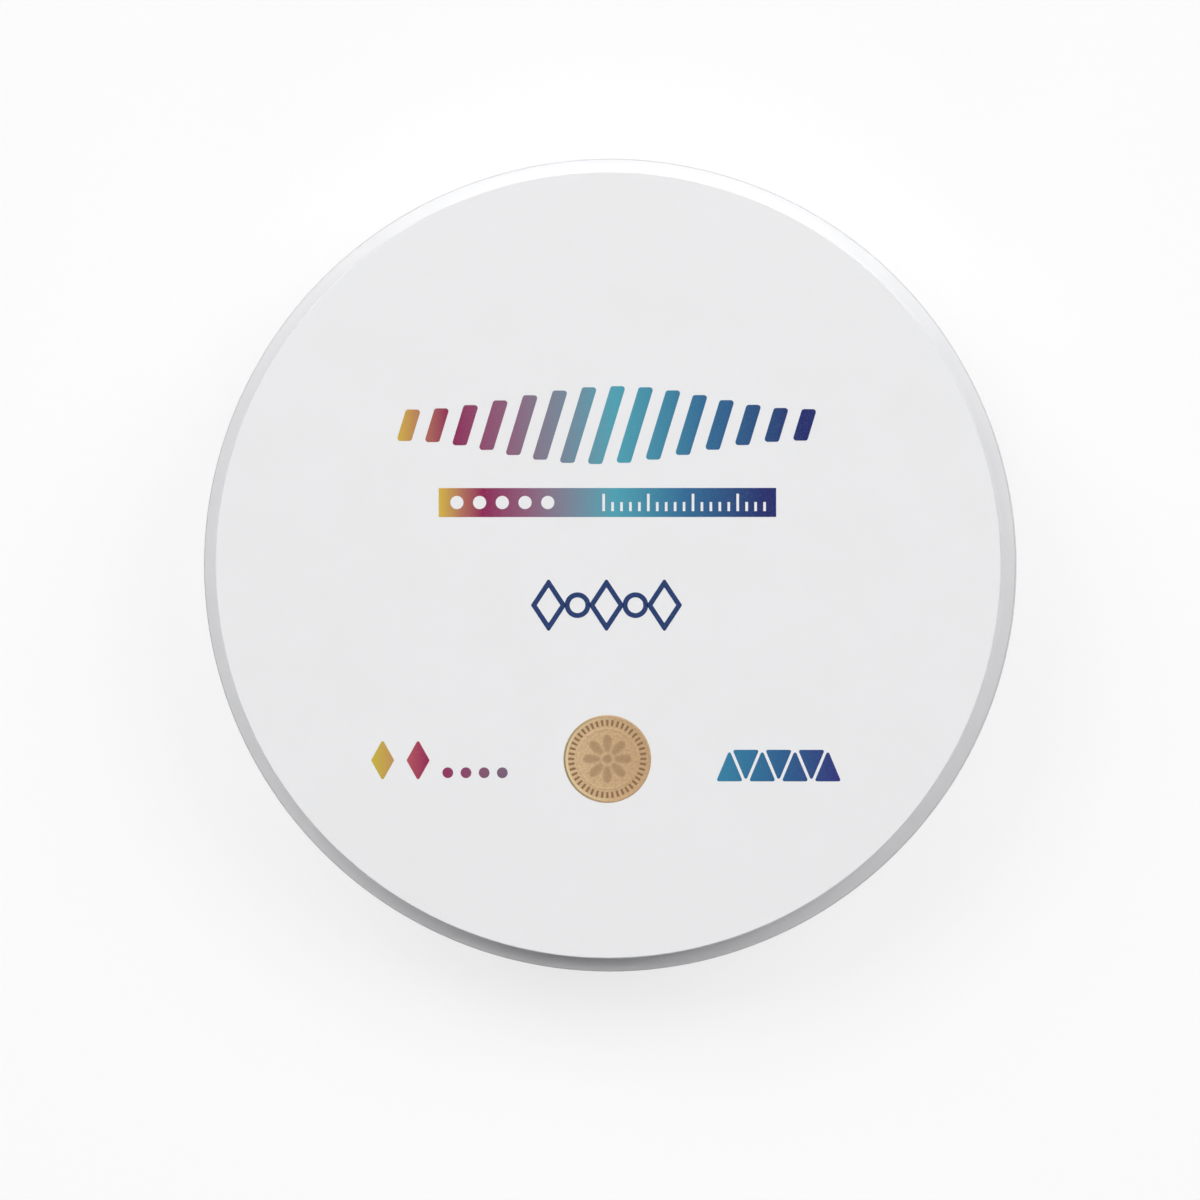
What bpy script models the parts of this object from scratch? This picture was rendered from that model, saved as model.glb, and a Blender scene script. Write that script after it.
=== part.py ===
"""Dental milling disc: a blank of pre-sintered zirconia, turned from one piece.

Metres, +Z up. The disc lies on its lower face, and the origin is at that face's centre.
A milling machine's holder grips the flange, which is centred between two equal raised faces.
"""

import math

import bmesh
import bpy

# Driving dimensions, in metres
FLANGE_DIAMETER = 0.0985
FLANGE_THICKNESS = 0.0100
SHOULDER_WIDTH = 0.00175
RAISED_HEIGHT = 0.0040
FACE_CHAMFER = 0.00010
FLANGE_CHAMFER = 0.00012
CORNER_RADIUS = 0.00020

# Smoothness of the turned surface
TURN_STEPS = 192
CORNER_STEPS = 3
SHARP_ANGLE = math.radians(30.0)
WELD_DISTANCE = 0.00001

# Pre-sintered zirconia: a chalky, slightly cool white
ZIRCONIA_COLOUR = (0.80, 0.80, 0.815, 1.0)
ZIRCONIA_ROUGHNESS = 0.6

# Sizes worked out from the driving dimensions
FLANGE_RADIUS = FLANGE_DIAMETER / 2
FACE_RADIUS = FLANGE_RADIUS - SHOULDER_WIDTH
DISC_HEIGHT = FLANGE_THICKNESS + 2 * RAISED_HEIGHT
SHOULDER_Z = RAISED_HEIGHT + FLANGE_THICKNESS

DISC_NAME = "zirconia_disc"
COLLECTION_NAME = "dental_milling_disc"


def clear_scene():
    for old in list(bpy.data.objects):
        bpy.data.objects.remove(old, do_unlink=True)


def corner_fillet():
    """The rounded inner corner between a raised face's wall and the shoulder, wall first."""
    centre_r = FACE_RADIUS + CORNER_RADIUS
    centre_z = SHOULDER_Z + CORNER_RADIUS
    points = []
    for step in range(CORNER_STEPS + 1):
        angle = math.pi + (math.pi / 2) * step / CORNER_STEPS
        r = centre_r + CORNER_RADIUS * math.cos(angle)
        z = centre_z + CORNER_RADIUS * math.sin(angle)
        points.append((r, z))
    return points


def upper_profile():
    """Radius and height from the middle of the upper face, outwards and down to the flange's rim."""
    return [
        (0.0, DISC_HEIGHT),
        (FACE_RADIUS - FACE_CHAMFER, DISC_HEIGHT),
        (FACE_RADIUS, DISC_HEIGHT - FACE_CHAMFER),
        *corner_fillet(),
        (FLANGE_RADIUS - FLANGE_CHAMFER, SHOULDER_Z),
        (FLANGE_RADIUS, SHOULDER_Z - FLANGE_CHAMFER),
    ]


def disc_profile():
    """The whole outline: the lower half is the upper half turned over."""
    upper = upper_profile()
    lower = [(r, DISC_HEIGHT - z) for r, z in reversed(upper)]
    return upper + lower


def profile_mesh(name, outline):
    """A chain of edges in the XZ plane, from the first point of the outline to the last."""
    chain = bmesh.new()
    points = [chain.verts.new((r, 0.0, z)) for r, z in outline]
    for start, end in zip(points, points[1:]):
        chain.edges.new((start, end))
    mesh = bpy.data.meshes.new(name)
    chain.to_mesh(mesh)
    chain.free()
    return mesh


def turn(obj):
    """Turn the object's profile around Z, and keep the result as its mesh."""
    screw = obj.modifiers.new("Turn", "SCREW")
    screw.axis = "Z"
    screw.angle = 2 * math.pi
    screw.steps = TURN_STEPS
    screw.render_steps = TURN_STEPS
    screw.use_merge_vertices = True
    screw.merge_threshold = WELD_DISTANCE
    evaluated = obj.evaluated_get(bpy.context.evaluated_depsgraph_get())
    turned = bpy.data.meshes.new_from_object(evaluated)
    outline = obj.data
    obj.modifiers.remove(screw)
    obj.data = turned
    bpy.data.meshes.remove(outline)
    turned.name = obj.name
    turned.shade_smooth()
    turned.set_sharp_from_angle(angle=SHARP_ANGLE)


def zirconia_material():
    material = bpy.data.materials.new("zirconia")
    material.use_nodes = True
    shader = material.node_tree.nodes["Principled BSDF"]
    shader.inputs["Base Color"].default_value = ZIRCONIA_COLOUR
    shader.inputs["Roughness"].default_value = ZIRCONIA_ROUGHNESS
    shader.inputs["Metallic"].default_value = 0.0
    material.diffuse_color = ZIRCONIA_COLOUR
    return material


def build_disc(collection):
    disc = bpy.data.objects.new(DISC_NAME, profile_mesh(DISC_NAME, disc_profile()))
    collection.objects.link(disc)
    turn(disc)
    disc.data.materials.append(zirconia_material())
    return disc


def main():
    clear_scene()
    collection = bpy.data.collections.new(COLLECTION_NAME)
    bpy.context.scene.collection.children.link(collection)
    build_disc(collection)


main()
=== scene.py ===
"""The looks of a dental milling disc: chalky ceramic, a generic print, plain studio light and a camera.

Metres, +Z up. The disc lies printed face up, and +Y is the top of the print.
"""

import math

import bmesh
import bpy
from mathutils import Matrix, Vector


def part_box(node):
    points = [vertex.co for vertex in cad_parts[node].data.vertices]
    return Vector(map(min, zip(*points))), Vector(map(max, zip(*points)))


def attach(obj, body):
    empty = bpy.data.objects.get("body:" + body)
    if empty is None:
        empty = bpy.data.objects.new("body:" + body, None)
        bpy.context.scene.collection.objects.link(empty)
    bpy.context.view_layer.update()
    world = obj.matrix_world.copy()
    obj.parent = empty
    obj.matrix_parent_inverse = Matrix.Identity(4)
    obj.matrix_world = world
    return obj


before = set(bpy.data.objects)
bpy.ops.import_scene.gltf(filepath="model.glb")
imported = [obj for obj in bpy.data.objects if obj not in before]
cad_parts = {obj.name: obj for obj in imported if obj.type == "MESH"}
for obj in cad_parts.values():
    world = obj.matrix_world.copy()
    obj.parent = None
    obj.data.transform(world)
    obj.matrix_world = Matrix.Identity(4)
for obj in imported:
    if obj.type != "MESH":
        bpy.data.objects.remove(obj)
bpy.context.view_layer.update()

MM = 0.001
BODY = "root"
DISC = "zirconia_disc"
DISC_LOW, DISC_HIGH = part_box(DISC)
FLANGE_RADIUS = DISC_HIGH.x
FACE_Z = DISC_HIGH.z

# Sizes of the disc that its box doesn't give
SHOULDER_WIDTH = 1.75 * MM
RAISED_HEIGHT = 4.0 * MM
FACE_RADIUS = FLANGE_RADIUS - SHOULDER_WIDTH
UPPER_SHOULDER_Z = FACE_Z - RAISED_HEIGHT
LOWER_SHOULDER_Z = DISC_LOW.z + RAISED_HEIGHT

# How far the painted edge shade and the paler faces reach into the chalk
EDGE_REACH = 0.17 * MM
FACE_TONE_DEPTH = 0.05 * MM

# Relief of the chalk: the turning tool's rings on the faces, its lines on the sides, and the grain
RING_PITCH = 0.42 * MM
RING_DRIFT = 3.0
RING_SHARE = 0.02
LINE_PITCH = 0.30 * MM
LINE_SHARE = 0.12
GRAIN_SHARE = 0.5
CHALK_BUMP = 0.012 * MM
CLOUD_LIMITS = (0.3, 0.7)

# The ink lies on the face, and its edge is sunk a little into the chalk
INK_THICKNESS = 0.02 * MM
INK_DEPTH = 0.01 * MM
INK_WEAR = 0.06
INK_WEAR_LIMITS = (0.5, 0.95)
INK_BUMP = 0.006 * MM

# Fineness of the noises, in lumps a metre
DRIFT_SCALE = 90.0
CLOUD_SCALE = 140.0
GRAIN_SCALE = 3800.0
INK_THIN_SCALE = 5200.0
INK_GRAIN_SCALE = 4200.0
SAND_SCALE = 3600.0

# Smoothness of the print's outlines
ARC_STEPS = 6
CIRCLE_STEPS = 48

# Where the photograph shows the face, in its own pixels
PHOTO_SIZE = 1200
FACE_CENTRE_PX = (607.3, 565.0)
FACE_RADIUS_PX = 393.35

# The camera looks almost straight down on the face, from slightly to its right
CAMERA_HEIGHT = 1.2
CAMERA_YAW = math.radians(3.0)
SENSOR = 36.0
CLIP_START, CLIP_END = 0.05, 20.0

# Light: large soft lamps beyond the top of the print, a low one in front for the rim, and a weak even sky.
# Each lamp has an azimuth (0 at +Y, growing towards +X), an elevation, a size and a power in watts.
LAMP_DISTANCE = 3.0
LAMPS = {
    "left_lamp": (-50, 45, 2.2, 49.5),
    "right_lamp": (62, 45, 2.2, 48.5),
    "top_lamp": (0, 50, 2.2, 22.5),
    "front_lamp": (180, 12, 0.8, 15),
}
SKY_STRENGTH = 0.02

# The floor shows this share of plain white, and the rest of it takes light and shadow
FLOOR_LIFT = 0.75
FLOOR_COLOUR = (0.94, 0.94, 0.94, 1.0)
FLOOR_SIZE = 12.0
FLOOR_GAP = 0.05 * MM

# Print, in the face's own frame, with x to the right and y up
WAVE_CENTRE = Vector((-0.1, 16.9)) * MM
WAVE_BARS = 15
WAVE_PITCH = 3.42 * MM
WAVE_BAR_WIDTH = 1.8 * MM
WAVE_LOW = 3.8 * MM
WAVE_HIGH = 9.4 * MM
WAVE_CORNER = 0.35 * MM
SLANT = math.tan(math.radians(17))

STRIP_CENTRE = Vector((0.0, 7.55)) * MM
STRIP_SIZE = Vector((40.8, 3.5)) * MM

RULE_START = -0.6 * MM
RULE_PITCH = 1.08 * MM
RULE_TICKS = 19
RULE_TICK_WIDTH = 0.32 * MM
RULE_SHORT = 1.1 * MM
RULE_LONG = 2.1 * MM
RULE_LONG_EVERY = 5

SPOT_START = -18.2 * MM
SPOT_PITCH = 2.75 * MM
SPOT_COUNT = 5
SPOT_RADIUS = 0.8 * MM

CHAIN_CENTRE = Vector((-0.1, -4.85)) * MM
CHAIN_LINKS_EACH_SIDE = 2
CHAIN_PITCH = 3.5 * MM
CHAIN_STROKE = 0.6 * MM
CHAIN_LOZENGE = Vector((4.3, 6.5)) * MM
CHAIN_RING_RADIUS = 1.55 * MM
CHAIN_INNER_CORNER = 0.08 * MM
LOZENGE_CORNER = 0.2 * MM

PAIR_CENTRES = (Vector((-27.2, -23.6)) * MM, Vector((-22.9, -23.6)) * MM)
PAIR_LOZENGE = Vector((2.8, 5.0)) * MM

DOTS_START = Vector((-19.3, -25.1)) * MM
DOTS_PITCH = 2.2 * MM
DOTS_COUNT = 4
DOTS_RADIUS = 0.65 * MM

TRIANGLES_CENTRE = Vector((20.7, -24.2)) * MM
TRIANGLES_COUNT = 7
TRIANGLES_PITCH = 1.98 * MM
TRIANGLE_SIZE = Vector((3.2, 3.8)) * MM
TRIANGLE_CORNER = 0.2 * MM

SEAL_CENTRE = Vector((0.0, -23.43)) * MM
SEAL_RADIUS = 5.3 * MM
SEAL_RINGS = 96
SEAL_SPOKES = 384
SEAL_BASE = 0.03 * MM
SEAL_RELIEF = 0.04 * MM
SEAL_TICKS = 44
SEAL_PETALS = 8
SEAL_SHARP_ANGLE = math.radians(50)
SEAL_SAND_BUMP = 0.03 * MM
SEAL_SAND_LIMITS = (0.42, 0.68)
SEAL_SAND_SHARE = 0.34

# The seal's rings, in shares of its radius: where each one starts, is full, begins to fall and ends
SEAL_RIM = (0.93, 0.95, 0.975, 1.0)
SEAL_LINE = (0.66, 0.675, 0.695, 0.71)
SEAL_TICK_RING = (0.745, 0.76, 0.885, 0.9)

# Where the slopes of its heart, outer edge and petals start and end, in shares of its radius
SEAL_HEART = (0.08, 0.12)
SEAL_EDGE = (0.98, 1.0)
SEAL_PETAL_FOOT = (0.14, 0.2)
SEAL_PETAL_SLOPE = 0.06

# How far the rosette reaches between two petals and along a petal, and how blunt a petal is
SEAL_PETAL_ENDS = (0.22, 0.58)
SEAL_PETAL_BLUNTNESS = 0.7

# Where the side of a tick starts and ends, by the cosine that is 1 in the tick's middle
SEAL_TICK_SIDES = (-0.1, 0.4)

# Heights in the seal, in shares of its relief
SEAL_RAISED = 0.5
SEAL_SUNK = 0.25
SEAL_TICK_DEPTH = 0.5

# Shading printed on the seal's left part: a pale ring and a dark edge, with their strengths.
# The left part goes by shares of the way across, from where it starts to where it is full.
SEAL_LEFT_PART = (0.6, 0.05)
SEAL_GLOW_RING = (0.90, 0.95)
SEAL_GLOW_SHARE = 0.6
SEAL_SHADE_RING = (0.955, 0.99)
SEAL_SHADE_SHARE = 0.9
SEAL_SHADING_BLUR = 0.006


def display(red, green, blue):
    """A colour as Blender counts it, from the 0 to 255 values that a screen shows."""
    def linear(value):
        share = value / 255
        return share / 12.92 if share <= 0.04045 else ((share + 0.055) / 1.055) ** 2.4
    return (linear(red), linear(green), linear(blue), 1.0)


GOLD = display(214, 180, 70)
AMBER = display(178, 110, 92)
CRIMSON = display(140, 32, 84)
MAUVE = display(142, 93, 121)
SLATE = display(126, 130, 148)
TEAL = display(80, 162, 180)
BLUE = display(50, 106, 148)
NAVY = display(34, 43, 104)
INK_NAVY = display(36, 58, 106)
CHALK = (0.82, 0.82, 0.835, 1.0)
CHALK_DUSTY = (0.84, 0.84, 0.85, 1.0)
# The two faces are a little paler than the sides and shoulders
CHALK_FACES = (0.88, 0.88, 0.892, 1.0)
CHALK_FACES_DARKER = (0.868, 0.868, 0.878, 1.0)
# Painted shade: a darker tone for a thin grey outline along the flange's two edges
CHALK_EDGE_SHADE = (0.60, 0.60, 0.61, 1.0)
WHITE_INK = display(240, 240, 242)
SEAL_PALE = display(200, 172, 132)
SEAL_GOLD = display(183, 150, 111)
SEAL_BROWN = display(124, 90, 58)
SEAL_SHADE = display(128, 116, 86)
SEAL_GLOW = display(216, 196, 152)

SPECTRUM = [
    (0.0, GOLD),
    (0.07, AMBER),
    (0.13, CRIMSON),
    (0.26, MAUVE),
    (0.37, SLATE),
    (0.52, TEAL),
    (0.73, BLUE),
    (0.96, NAVY),
]
TRIANGLES_SPECTRUM = [
    (0.0, display(54, 128, 164)),
    (0.5, display(44, 96, 142)),
    (1.0, display(46, 52, 120)),
]
PAIR_SPECTRUM = [
    (0.0, display(204, 184, 62)),
    (0.16, display(196, 148, 90)),
    (0.28, display(178, 80, 94)),
    (0.42, display(146, 38, 84)),
    (0.54, display(146, 50, 94)),
    (1.0, display(120, 98, 120)),
]


def new_material(name, roughness, specular=0.5, metallic=0.0):
    """A material, its tree and its shader, with the finish that is the same all over."""
    material = bpy.data.materials.new(name)
    material.use_nodes = True
    tree = material.node_tree
    shader = tree.nodes["Principled BSDF"]
    shader.inputs["Roughness"].default_value = roughness
    shader.inputs["Specular IOR Level"].default_value = specular
    shader.inputs["Metallic"].default_value = metallic
    return material, tree, shader


def add_node(tree, kind, values=None, **settings):
    """A node with its settings, and with its inputs set to values or linked to other nodes' outputs."""
    node = tree.nodes.new(kind)
    for name, value in settings.items():
        setattr(node, name, value)
    for key, value in (values or {}).items():
        if isinstance(value, bpy.types.NodeSocket):
            tree.links.new(value, node.inputs[key])
        else:
            node.inputs[key].default_value = value
    return node


def place_of(tree):
    return add_node(tree, "ShaderNodeTexCoord").outputs["Object"]


def noise(tree, place, scale, detail=2.0, roughness=0.5):
    """A noise of about 1 / scale metres a lump, from 0 to 1."""
    values = {"Vector": place, "Scale": scale, "Detail": detail, "Roughness": roughness}
    return add_node(tree, "ShaderNodeTexNoise", values).outputs["Fac"]


def maths(tree, operation, first, second=0.0, third=0.0):
    return add_node(tree, "ShaderNodeMath", {0: first, 1: second, 2: third}, operation=operation).outputs[0]


def mix_colours(tree, share, first, second):
    """The first colour where the share is 0, and the second where it is 1."""
    node = add_node(tree, "ShaderNodeMix", data_type="RGBA")
    for key, value in ((0, share), (6, first), (7, second)):
        if isinstance(value, bpy.types.NodeSocket):
            tree.links.new(value, node.inputs[key])
        else:
            node.inputs[key].default_value = value
    return node.outputs[2]


def ramp(tree, share, stops):
    """A colour ramp through the stops, each a place from 0 to 1 and a colour."""
    node = add_node(tree, "ShaderNodeValToRGB", {"Fac": share})
    line = node.color_ramp
    while len(line.elements) < len(stops):
        line.elements.new(0.5)
    for element, (place, colour) in zip(line.elements, stops):
        element.position = place
        element.color = colour
    return node.outputs["Color"]


def span(tree, value, low, high):
    """The value as a share of the way from low to high."""
    values = {"Value": value, "From Min": low, "From Max": high}
    return add_node(tree, "ShaderNodeMapRange", values).outputs["Result"]


def bump(tree, shader, height, distance):
    values = {"Height": height, "Distance": distance, "Strength": 1.0}
    normal = add_node(tree, "ShaderNodeBump", values).outputs["Normal"]
    tree.links.new(normal, shader.inputs["Normal"])


def level(tree, place):
    """The place with its height taken away."""
    values = {0: place, 1: (1.0, 1.0, 0.0)}
    return add_node(tree, "ShaderNodeVectorMath", values, operation="MULTIPLY").outputs[0]


def length(tree, vector):
    return add_node(tree, "ShaderNodeVectorMath", {0: vector}, operation="LENGTH").outputs["Value"]


def near_edge(tree, radius, height, edge_z):
    """1 on one of the flange's edges, fading to 0 within the edge's reach."""
    out = maths(tree, "SUBTRACT", radius, FLANGE_RADIUS)
    up = maths(tree, "SUBTRACT", height, edge_z)
    squares = maths(tree, "ADD", maths(tree, "MULTIPLY", out, out), maths(tree, "MULTIPLY", up, up))
    return span(tree, maths(tree, "SQRT", squares), EDGE_REACH, EDGE_REACH / 2)


def on_faces(tree, height):
    """1 on the disc's two faces, and 0 on the rest of it."""
    below = maths(tree, "SUBTRACT", FACE_Z, height)
    above = maths(tree, "SUBTRACT", height, DISC_LOW.z)
    return span(tree, maths(tree, "MINIMUM", below, above), FACE_TONE_DEPTH, FACE_TONE_DEPTH / 2)


def chalk_material():
    """Pressed zirconia powder: matte, finely grained, with faint marks of the turning tool.

    The two faces are a little paler than the turned sides, and a painted shade darkens a thin line along
    the flange's two edges.
    """
    material, tree, shader = new_material("chalky_zirconia", roughness=0.62, specular=0.3)
    place = place_of(tree)
    radius = length(tree, level(tree, place))
    height = add_node(tree, "ShaderNodeSeparateXYZ", {0: place}).outputs["Z"]
    drift = maths(tree, "MULTIPLY", noise(tree, place, DRIFT_SCALE), RING_DRIFT)
    rings = maths(tree, "SINE", maths(tree, "MULTIPLY_ADD", radius, 2 * math.pi / RING_PITCH, drift))
    lines = maths(tree, "SINE", maths(tree, "MULTIPLY", height, 2 * math.pi / LINE_PITCH))
    grain = noise(tree, place, GRAIN_SCALE, detail=4.0, roughness=0.65)
    cloud = noise(tree, place, CLOUD_SCALE, detail=3.0)
    patchy = span(tree, cloud, *CLOUD_LIMITS)
    tone = mix_colours(tree, patchy, CHALK, CHALK_DUSTY)
    face_tone = mix_colours(tree, patchy, CHALK_FACES, CHALK_FACES_DARKER)
    # Painted shade: the flange's two edges are darkened to a thin grey outline
    upper = near_edge(tree, radius, height, UPPER_SHOULDER_Z)
    lower = near_edge(tree, radius, height, LOWER_SHOULDER_Z)
    painted_edge_shade = maths(tree, "MAXIMUM", upper, lower)
    tone = mix_colours(tree, on_faces(tree, height), tone, face_tone)
    tree.links.new(mix_colours(tree, painted_edge_shade, tone, CHALK_EDGE_SHADE), shader.inputs["Base Color"])
    ring_height = maths(tree, "MULTIPLY", rings, RING_SHARE)
    line_height = maths(tree, "MULTIPLY", lines, LINE_SHARE)
    grain_height = maths(tree, "MULTIPLY", grain, GRAIN_SHARE)
    marks = maths(tree, "ADD", ring_height, line_height)
    bump(tree, shader, maths(tree, "ADD", marks, grain_height), CHALK_BUMP)
    return material


def ink_material(name, stops, left=0.0, right=1.0):
    """Ink of one colour, or running from left to right through the stops, a little uneven on chalk."""
    material, tree, shader = new_material(name, roughness=0.6, specular=0.15)
    place = place_of(tree)
    colour = stops[0][1]
    if len(stops) > 1:
        across = add_node(tree, "ShaderNodeSeparateXYZ", {0: place}).outputs["X"]
        colour = ramp(tree, span(tree, across, left, right), stops)
    thin = span(tree, noise(tree, place, INK_THIN_SCALE, detail=3.0), *INK_WEAR_LIMITS)
    worn = mix_colours(tree, maths(tree, "MULTIPLY", thin, INK_WEAR), colour, CHALK)
    tree.links.new(worn, shader.inputs["Base Color"])
    bump(tree, shader, noise(tree, place, INK_GRAIN_SCALE), INK_BUMP)
    return material


def shading_ring(tree, radial, limits, strength):
    """The strength between two limits of the radial share, and 0 elsewhere, with a little blur."""
    low, high = limits
    rising = span(tree, radial, low - SEAL_SHADING_BLUR, low + SEAL_SHADING_BLUR)
    falling = span(tree, radial, high + SEAL_SHADING_BLUR, high - SEAL_SHADING_BLUR)
    return maths(tree, "MULTIPLY", maths(tree, "MULTIPLY", rising, falling), strength)


def seal_material():
    """Matte gold, paler at the left and browner in the hollows of the relief, with a sandy grain.

    It is printed with its own shading, a pale ring and a dark edge, on its left part alone.
    """
    material, tree, shader = new_material("matte_gold", roughness=0.46, specular=0.5, metallic=0.25)
    place = place_of(tree)
    spot = add_node(tree, "ShaderNodeSeparateXYZ", {0: place}).outputs
    across = span(tree, spot["X"], SEAL_CENTRE.x - SEAL_RADIUS, SEAL_CENTRE.x + SEAL_RADIUS)
    gold = mix_colours(tree, across, SEAL_PALE, SEAL_GOLD)
    base = FACE_Z + SEAL_BASE
    hollow = span(tree, spot["Z"], base, base - SEAL_RELIEF / 2)
    worked = mix_colours(tree, hollow, gold, SEAL_BROWN)
    sand = noise(tree, place, SAND_SCALE, detail=3.0, roughness=0.6)
    speck = span(tree, sand, *SEAL_SAND_LIMITS)
    tinted = mix_colours(tree, maths(tree, "MULTIPLY", speck, SEAL_SAND_SHARE), worked, SEAL_BROWN)
    centre = (SEAL_CENTRE.x, SEAL_CENTRE.y, 0.0)
    offset = add_node(tree, "ShaderNodeVectorMath", {0: place, 1: centre}, operation="SUBTRACT").outputs[0]
    radial = maths(tree, "DIVIDE", length(tree, level(tree, offset)), SEAL_RADIUS)
    left = span(tree, across, *SEAL_LEFT_PART)
    glow = shading_ring(tree, radial, SEAL_GLOW_RING, maths(tree, "MULTIPLY", left, SEAL_GLOW_SHARE))
    shade = shading_ring(tree, radial, SEAL_SHADE_RING, maths(tree, "MULTIPLY", left, SEAL_SHADE_SHARE))
    lit = mix_colours(tree, glow, tinted, SEAL_GLOW)
    tree.links.new(mix_colours(tree, shade, lit, SEAL_SHADE), shader.inputs["Base Color"])
    bump(tree, shader, sand, SEAL_SAND_BUMP)
    return material


def rounded(corners, radius):
    """The closed outline through the corners, in order, with each corner rounded to the radius."""
    outline = []
    for index, corner in enumerate(corners):
        back = (corners[index - 1] - corner).normalized()
        ahead = (corners[(index + 1) % len(corners)] - corner).normalized()
        half = math.acos(max(-1.0, min(1.0, back.dot(ahead)))) / 2
        centre = corner + (back + ahead).normalized() * radius / math.sin(half)
        start = corner + back * radius / math.tan(half) - centre
        end = corner + ahead * radius / math.tan(half) - centre
        first = math.atan2(start.y, start.x)
        turn = math.remainder(math.atan2(end.y, end.x) - first, 2 * math.pi)
        for step in range(ARC_STEPS + 1):
            angle = first + turn * step / ARC_STEPS
            outline.append(centre + Vector((math.cos(angle), math.sin(angle))) * radius)
    return outline


def circle(centre, radius):
    angles = [2 * math.pi * step / CIRCLE_STEPS for step in range(CIRCLE_STEPS)]
    return [centre + Vector((math.cos(angle), math.sin(angle))) * radius for angle in angles]


def lozenge(centre, size):
    """The four corners of an upright lozenge, counter-clockwise from the right."""
    across, up = Vector((size.x / 2, 0.0)), Vector((0.0, size.y / 2))
    return [centre + across, centre + up, centre - across, centre - up]


def slanted_bar(centre, width, height, radius):
    """A bar that leans to the right, with rounded corners."""
    lean = Vector((SLANT * height / 2, height / 2))
    side = Vector((width / 2, 0.0))
    foot, head = centre - lean, centre + lean
    return rounded([foot - side, foot + side, head + side, head - side], radius)


def add_plate(shape, outline, low, high):
    """A flat plate between two heights, added to a bmesh. The outline runs counter-clockwise."""
    bottom = [shape.verts.new((p.x, p.y, low)) for p in outline]
    top = [shape.verts.new((p.x, p.y, high)) for p in outline]
    shape.faces.new(top)
    shape.faces.new(bottom[::-1])
    for index in range(len(outline)):
        shape.faces.new((bottom[index - 1], bottom[index], top[index], top[index - 1]))


def add_band(shape, outer, inner, low, high):
    """A flat closed band between two outlines of as many points, added to a bmesh."""
    rows = [[shape.verts.new((p.x, p.y, z)) for p in line]
            for line, z in ((outer, low), (outer, high), (inner, high), (inner, low))]
    for row, following in zip(rows, rows[1:] + rows[:1]):
        for index in range(len(outer)):
            shape.faces.new((row[index - 1], row[index], following[index], following[index - 1]))


def new_piece(name, shape, material):
    """Turns a bmesh into a piece of the object that moves with the disc."""
    mesh = bpy.data.meshes.new(name)
    shape.to_mesh(mesh)
    shape.free()
    mesh.materials.append(material)
    piece = bpy.data.objects.new(name, mesh)
    bpy.context.scene.collection.objects.link(piece)
    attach(piece, BODY)
    return piece


def printed(name, outlines, material, base=0.0):
    """A piece of print: each outline is one list of points, or two for an open shape."""
    shape = bmesh.new()
    low = FACE_Z + base - INK_DEPTH
    high = FACE_Z + base + INK_THICKNESS
    for outline in outlines:
        if isinstance(outline, tuple):
            add_band(shape, *outline, low, high)
        else:
            add_plate(shape, outline, low, high)
    return new_piece(name, shape, material)


def wave_of_bars():
    """A row of slanted bars that are tallest in the middle of the row."""
    outlines = []
    for index in range(WAVE_BARS):
        share = index / (WAVE_BARS - 1)
        swell = math.sin(math.pi * share) ** 2
        height = WAVE_LOW + (WAVE_HIGH - WAVE_LOW) * swell
        offset = Vector(((index - (WAVE_BARS - 1) / 2) * WAVE_PITCH, 0.0))
        outlines.append(slanted_bar(WAVE_CENTRE + offset, WAVE_BAR_WIDTH, height, WAVE_CORNER))
    reach = WAVE_PITCH * WAVE_BARS / 2
    ink = ink_material("wave_ink", SPECTRUM, WAVE_CENTRE.x - reach, WAVE_CENTRE.x + reach)
    printed("slanted_bar_wave", outlines, ink)


def gradient_strip():
    half = STRIP_SIZE / 2
    signs = ((-1, -1), (1, -1), (1, 1), (-1, 1))
    corners = [STRIP_CENTRE + Vector((x * half.x, y * half.y)) for x, y in signs]
    ink = ink_material("strip_ink", SPECTRUM, STRIP_CENTRE.x - half.x, STRIP_CENTRE.x + half.x)
    printed("gradient_strip", [corners], ink)


def strip_marks():
    """A plain rule and a row of spots in white, on the gradient strip."""
    ink = ink_material("white_ink", [(0.0, WHITE_INK)])
    foot = STRIP_CENTRE.y - RULE_LONG / 2
    ticks = []
    for index in range(RULE_TICKS):
        height = RULE_SHORT if index % RULE_LONG_EVERY else RULE_LONG
        left = RULE_START + index * RULE_PITCH
        right = left + RULE_TICK_WIDTH
        top = foot + height
        ticks.append([Vector(p) for p in ((left, foot), (right, foot), (right, top), (left, top))])
    printed("white_rule", ticks, ink, base=INK_THICKNESS)
    spots = [circle(Vector((SPOT_START + index * SPOT_PITCH, STRIP_CENTRE.y)), SPOT_RADIUS)
             for index in range(SPOT_COUNT)]
    printed("white_spots", spots, ink, base=INK_THICKNESS)


def outline_chain():
    """Thin navy lozenges and rings by turns."""
    outlines = []
    for index in range(-CHAIN_LINKS_EACH_SIDE, CHAIN_LINKS_EACH_SIDE + 1):
        centre = CHAIN_CENTRE + Vector((index * CHAIN_PITCH, 0.0))
        if index % 2:
            outlines.append((circle(centre, CHAIN_RING_RADIUS),
                             circle(centre, CHAIN_RING_RADIUS - CHAIN_STROKE)))
        else:
            slope = math.atan2(CHAIN_LOZENGE.y, CHAIN_LOZENGE.x)
            inset = Vector((CHAIN_STROKE / math.sin(slope), CHAIN_STROKE / math.cos(slope))) * 2
            outlines.append((rounded(lozenge(centre, CHAIN_LOZENGE), LOZENGE_CORNER),
                             rounded(lozenge(centre, CHAIN_LOZENGE - inset), CHAIN_INNER_CORNER)))
    ink = ink_material("navy_ink", [(0.0, INK_NAVY)])
    printed("lozenge_chain", outlines, ink)


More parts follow.
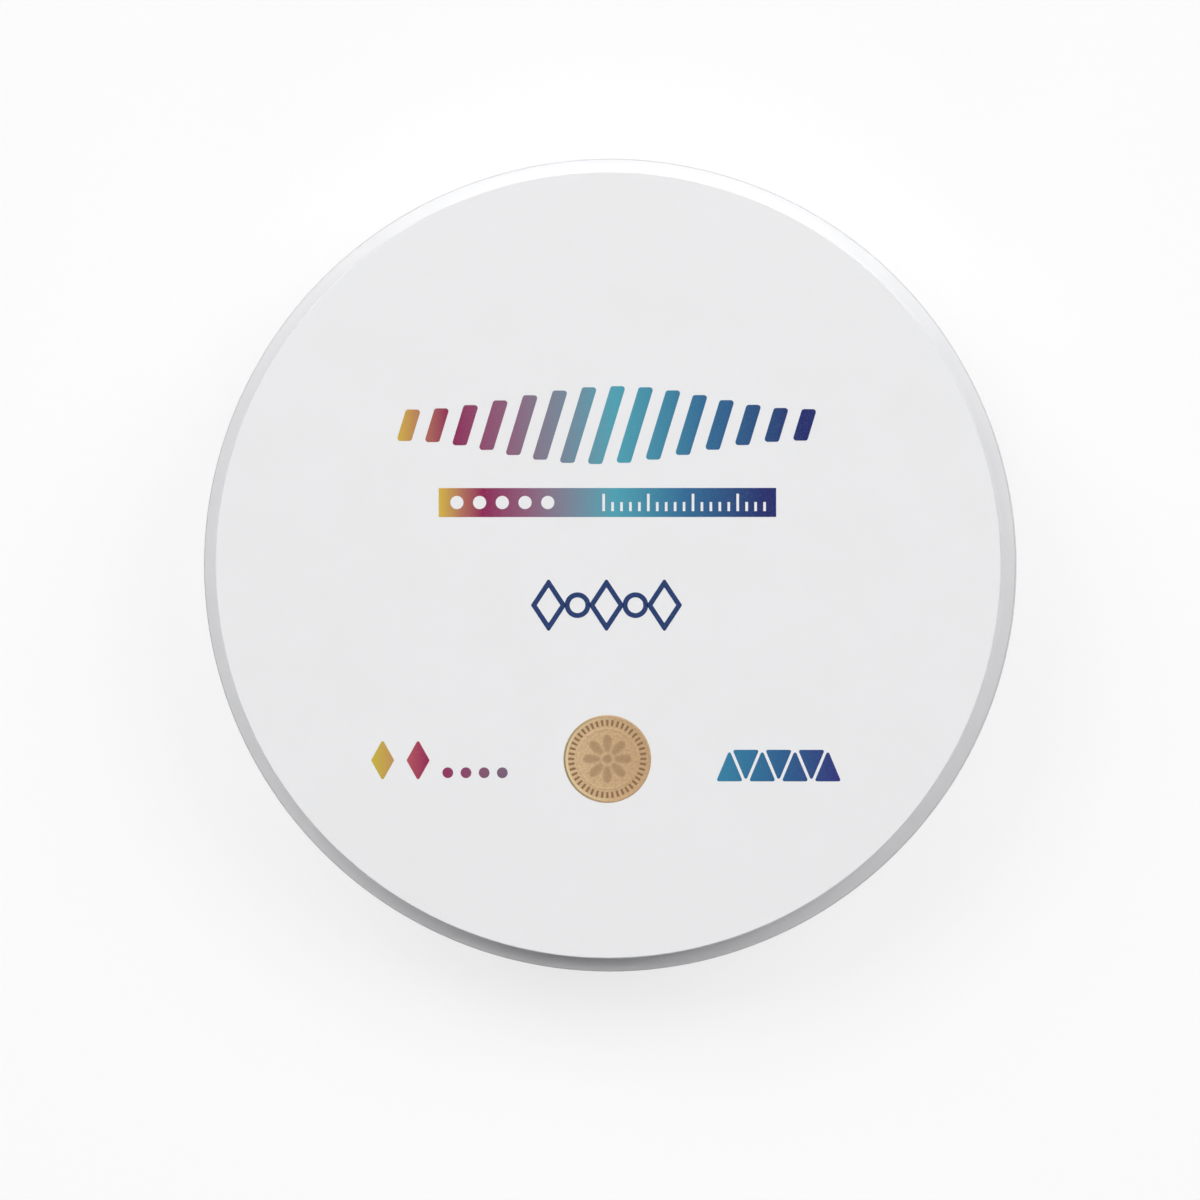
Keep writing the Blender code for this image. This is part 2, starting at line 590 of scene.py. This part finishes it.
def lozenge_pair_and_dots():
    """Two lozenges and a row of dots, which run from gold through crimson to mauve."""
    row = [DOTS_START + Vector((index * DOTS_PITCH, 0.0)) for index in range(DOTS_COUNT)]
    left = PAIR_CENTRES[0].x - PAIR_LOZENGE.x / 2
    ink = ink_material("pair_ink", PAIR_SPECTRUM, left, row[-1].x + DOTS_RADIUS)
    pair = [rounded(lozenge(centre, PAIR_LOZENGE), LOZENGE_CORNER) for centre in PAIR_CENTRES]
    printed("lozenge_pair", pair, ink)
    printed("mauve_dots", [circle(centre, DOTS_RADIUS) for centre in row], ink)


def triangle_band():
    """A row of triangles that point up and down by turns."""
    outlines = []
    half = TRIANGLE_SIZE / 2
    for index in range(TRIANGLES_COUNT):
        offset = (index - (TRIANGLES_COUNT - 1) / 2) * TRIANGLES_PITCH
        centre = TRIANGLES_CENTRE + Vector((offset, 0.0))
        way = -1 if index % 2 else 1
        signs = ((-1, -1), (1, -1), (0, 1))
        corners = [centre + Vector((x * half.x, y * half.y)) * way for x, y in signs]
        outlines.append(rounded(corners, TRIANGLE_CORNER))
    reach = TRIANGLES_PITCH * TRIANGLES_COUNT / 2
    middle = TRIANGLES_CENTRE.x
    ink = ink_material("triangle_ink", TRIANGLES_SPECTRUM, middle - reach, middle + reach)
    printed("triangle_band", outlines, ink)


def smooth_step(value, low, high):
    share = max(0.0, min(1.0, (value - low) / (high - low)))
    return share * share * (3 - 2 * share)


def ring_step(share, start, full, falling, end):
    """1 in a ring between two shares of the radius, with a slope at each side."""
    return smooth_step(share, start, full) * (1 - smooth_step(share, falling, end))


def seal_relief(share, angle):
    """The seal's height over its base, as a share of the relief, at a share of its radius and an angle."""
    raised = ring_step(share, *SEAL_RIM) + ring_step(share, *SEAL_LINE)
    ticks = ring_step(share, *SEAL_TICK_RING) * smooth_step(math.cos(SEAL_TICKS * angle), *SEAL_TICK_SIDES)
    petal = abs(math.cos(SEAL_PETALS / 2 * angle)) ** SEAL_PETAL_BLUNTNESS
    shortest, longest = SEAL_PETAL_ENDS
    reach = shortest + (longest - shortest) * petal
    rosette = petal * ring_step(share, *SEAL_PETAL_FOOT, reach - SEAL_PETAL_SLOPE, reach)
    heart = 1 - smooth_step(share, *SEAL_HEART)
    edge = smooth_step(share, *SEAL_EDGE)
    return SEAL_RAISED * raised - SEAL_SUNK * (rosette + heart + edge) - SEAL_TICK_DEPTH * ticks


def gold_seal():
    """A plain embossed seal: a rim, a ring of ticks, a thin line and an eight-petalled rosette."""
    shape = bmesh.new()
    base = FACE_Z + SEAL_BASE
    rows = []
    for ring in range(1, SEAL_RINGS + 1):
        share = ring / SEAL_RINGS
        row = []
        for spoke in range(SEAL_SPOKES):
            angle = 2 * math.pi * spoke / SEAL_SPOKES
            x = SEAL_CENTRE.x + SEAL_RADIUS * share * math.cos(angle)
            y = SEAL_CENTRE.y + SEAL_RADIUS * share * math.sin(angle)
            z = base + SEAL_RELIEF * seal_relief(share, angle)
            row.append(shape.verts.new((x, y, z)))
        rows.append(row)
    middle = shape.verts.new((SEAL_CENTRE.x, SEAL_CENTRE.y, base + SEAL_RELIEF * seal_relief(0, 0)))
    foot = [shape.verts.new((v.co.x, v.co.y, FACE_Z - INK_DEPTH)) for v in rows[-1]]
    for spoke in range(SEAL_SPOKES):
        shape.faces.new((middle, rows[0][spoke - 1], rows[0][spoke]))
    for row, following in zip(rows, rows[1:] + [foot]):
        for spoke in range(SEAL_SPOKES):
            shape.faces.new((row[spoke - 1], following[spoke - 1], following[spoke], row[spoke]))
    shape.faces.new(foot[::-1])
    seal = new_piece("gold_seal", shape, seal_material())
    seal.data.shade_smooth()
    seal.data.set_sharp_from_angle(angle=SEAL_SHARP_ANGLE)


def seen_rays(tree):
    """1 on the rays by which the camera sees a thing, also in a gloss or through glass, and 0 on others."""
    paths = add_node(tree, "ShaderNodeLightPath").outputs
    mirrored = maths(tree, "MAXIMUM", paths["Is Glossy Ray"], paths["Is Transmission Ray"])
    return maths(tree, "MAXIMUM", paths["Is Camera Ray"], mirrored)


def dress_disc():
    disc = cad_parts[DISC]
    disc.data.materials.clear()
    disc.data.materials.append(chalk_material())


def add_floor():
    """A pale floor that keeps the shadow, and shows a fixed share of plain white where it is seen."""
    bpy.ops.mesh.primitive_plane_add(size=FLOOR_SIZE, location=(0.0, 0.0, -FLOOR_GAP))
    floor = bpy.context.object
    floor.name = "pale_floor"
    material = bpy.data.materials.new("pale_floor")
    material.use_nodes = True
    tree = material.node_tree
    tree.nodes.clear()
    matte = add_node(tree, "ShaderNodeBsdfDiffuse", {"Color": FLOOR_COLOUR}).outputs[0]
    white = add_node(tree, "ShaderNodeEmission", {"Strength": 1.0}).outputs[0]
    share = maths(tree, "MULTIPLY", seen_rays(tree), FLOOR_LIFT)
    shown = add_node(tree, "ShaderNodeMixShader", {0: share, 1: matte, 2: white}).outputs[0]
    add_node(tree, "ShaderNodeOutputMaterial", {"Surface": shown})
    floor.data.materials.append(material)


def add_world():
    """White where it is seen, and a soft even light elsewhere."""
    world = bpy.data.worlds.new("studio")
    bpy.context.scene.world = world
    world.use_nodes = True
    tree = world.node_tree
    tree.nodes.clear()
    soft = add_node(tree, "ShaderNodeBackground", {"Strength": SKY_STRENGTH}).outputs[0]
    white = add_node(tree, "ShaderNodeBackground", {"Strength": 1.0}).outputs[0]
    for shader in (soft, white):
        shader.node.inputs["Color"].default_value = (1.0, 1.0, 1.0, 1.0)
    shown = add_node(tree, "ShaderNodeMixShader", {0: seen_rays(tree), 1: soft, 2: white}).outputs[0]
    add_node(tree, "ShaderNodeOutputWorld", {"Surface": shown})


def add_lamp(name, azimuth, elevation, size, power):
    """A round area light that faces the disc."""
    light = bpy.data.lights.new(name, "AREA")
    light.shape = "DISK"
    light.size = size
    light.energy = power
    lamp = bpy.data.objects.new(name, light)
    turn, rise = math.radians(azimuth), math.radians(elevation)
    way = Vector((math.sin(turn) * math.cos(rise), math.cos(turn) * math.cos(rise), math.sin(rise)))
    lamp.location = way * LAMP_DISTANCE
    lamp.rotation_mode = "QUATERNION"
    lamp.rotation_quaternion = way.to_track_quat("Z", "Y")
    bpy.context.scene.collection.objects.link(lamp)


def add_camera():
    """Frames the face where the photograph has it."""
    scale = FACE_RADIUS / FACE_RADIUS_PX
    middle = PHOTO_SIZE / 2
    aim = Vector(((middle - FACE_CENTRE_PX[0]) * scale, (FACE_CENTRE_PX[1] - middle) * scale, FACE_Z))
    place = aim + Vector((math.tan(CAMERA_YAW) * CAMERA_HEIGHT, 0.0, CAMERA_HEIGHT))
    data = bpy.data.cameras.new("camera")
    data.sensor_width = SENSOR
    data.lens = SENSOR * (place - aim).length / (PHOTO_SIZE * scale)
    data.clip_start = CLIP_START
    data.clip_end = CLIP_END
    camera = bpy.data.objects.new("camera", data)
    camera.location = place
    camera.rotation_euler = (0.0, CAMERA_YAW, 0.0)
    bpy.context.scene.collection.objects.link(camera)
    bpy.context.scene.camera = camera


bpy.context.scene.view_settings.view_transform = "Standard"
add_camera()
dress_disc()
wave_of_bars()
gradient_strip()
strip_marks()
outline_chain()
lozenge_pair_and_dots()
triangle_band()
gold_seal()
add_floor()
add_world()
for lamp_name, settings in LAMPS.items():
    add_lamp(lamp_name, *settings)
